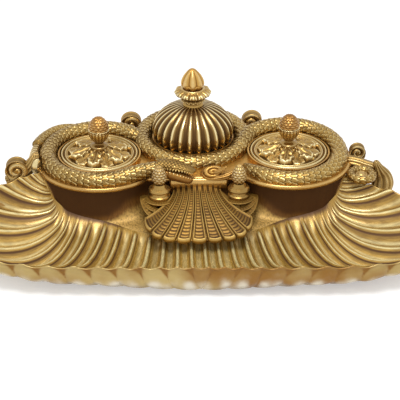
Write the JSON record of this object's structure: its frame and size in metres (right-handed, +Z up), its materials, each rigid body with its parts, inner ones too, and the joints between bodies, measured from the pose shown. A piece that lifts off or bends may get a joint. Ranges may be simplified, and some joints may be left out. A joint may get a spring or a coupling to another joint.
{
  "type": "desk inkstand",
  "caption": "Shell-shaped desk inkstand with a fluted pen tray, a lobed well housing with serpent coils, lift-off lids over ink pots, and a ribbed dome lid.",
  "frame": {"origin": "middle of the bounding box at the height of the resting face", "axes": "+X to the right along the tray, +Y to the back (the front of the tray is towards -Y), +Z up"},
  "size_m": [0.3837, 0.2305, 0.1168],
  "materials": {
    "gilt_bronze": "fire-gilt, satin",
    "burnished_bronze": "burnished, brown patina",
    "red_gold": "reddish gilding, satin",
    "pale_gilt": "worn pale gilding",
    "plain_brass": "plain turned brass",
    "steel": "plain",
    "glass": "clear",
    "baize": "green baize"
  },
  "bodies": {
    "stand": {"shell_tray": "gilt_bronze", "wall_front": "burnished_bronze", "wall_right": "burnished_bronze", "wall_back": "burnished_bronze", "wall_left": "burnished_bronze", "deck_plate": "red_gold", "front_moulding": "red_gold", "base_plate": "plain_brass", "felt_pad": "baize", "base_screws": "steel", "tie_pillars": "plain_brass", "sleeve_left": "plain_brass", "sleeve_centre": "plain_brass", "sleeve_right": "plain_brass", "collar_left": "red_gold", "collar_centre": "red_gold", "collar_right": "red_gold", "serpent_left": "gilt_bronze", "serpent_centre": "gilt_bronze", "serpent_right": "gilt_bronze", "back_scroll_left": "gilt_bronze", "back_scroll_right": "gilt_bronze", "end_scroll_left": "gilt_bronze", "end_scroll_right": "gilt_bronze", "ear_scroll_right": "gilt_bronze", "leaf_band_left": "gilt_bronze", "tail_loop_right": "gilt_bronze", "curled_leaf": "red_gold", "front_shell": "gilt_bronze", "pedestal_left": "gilt_bronze", "pedestal_right": "gilt_bronze", "post_left": "gilt_bronze", "post_right": "gilt_bronze", "pinecone_left": "pale_gilt", "pinecone_right": "pale_gilt"},
    "pot_left": {"pot_left": "glass"},
    "pot_centre": {"pot_centre": "glass"},
    "pot_right": {"pot_right": "glass"},
    "lid_left": {"lid_left": "gilt_bronze", "plug_left": "plain_brass", "calyx_left": "gilt_bronze", "seed_pod_left": "pale_gilt", "nut_left": "steel"},
    "lid_right": {"lid_right": "gilt_bronze", "plug_right": "plain_brass", "calyx_right": "gilt_bronze", "seed_pod_right": "pale_gilt", "nut_right": "steel"},
    "dome_lid": {"dome_lid": "gilt_bronze", "plug_centre": "plain_brass", "leafy_cup": "pale_gilt", "bud": "pale_gilt", "nut_centre": "steel"}
  },
  "joints": [
    {"name": "pot_lift_left", "type": "slide", "parent": "stand", "child": "pot_left", "axis": [0, 0, 1], "range_m": [0, 0.05]},
    {"name": "pot_lift_centre", "type": "slide", "parent": "stand", "child": "pot_centre", "axis": [0, 0, 1], "range_m": [0, 0.05]},
    {"name": "pot_lift_right", "type": "slide", "parent": "stand", "child": "pot_right", "axis": [0, 0, 1], "range_m": [0, 0.05]},
    {"name": "lid_lift_left", "type": "slide", "parent": "pot_left", "child": "lid_left", "axis": [0, 0, 1], "range_m": [0, 0.045]},
    {"name": "lid_lift_centre", "type": "slide", "parent": "pot_centre", "child": "dome_lid", "axis": [0, 0, 1], "range_m": [0, 0.045]},
    {"name": "lid_lift_right", "type": "slide", "parent": "pot_right", "child": "lid_right", "axis": [0, 0, 1], "range_m": [0, 0.045]}
  ]
}
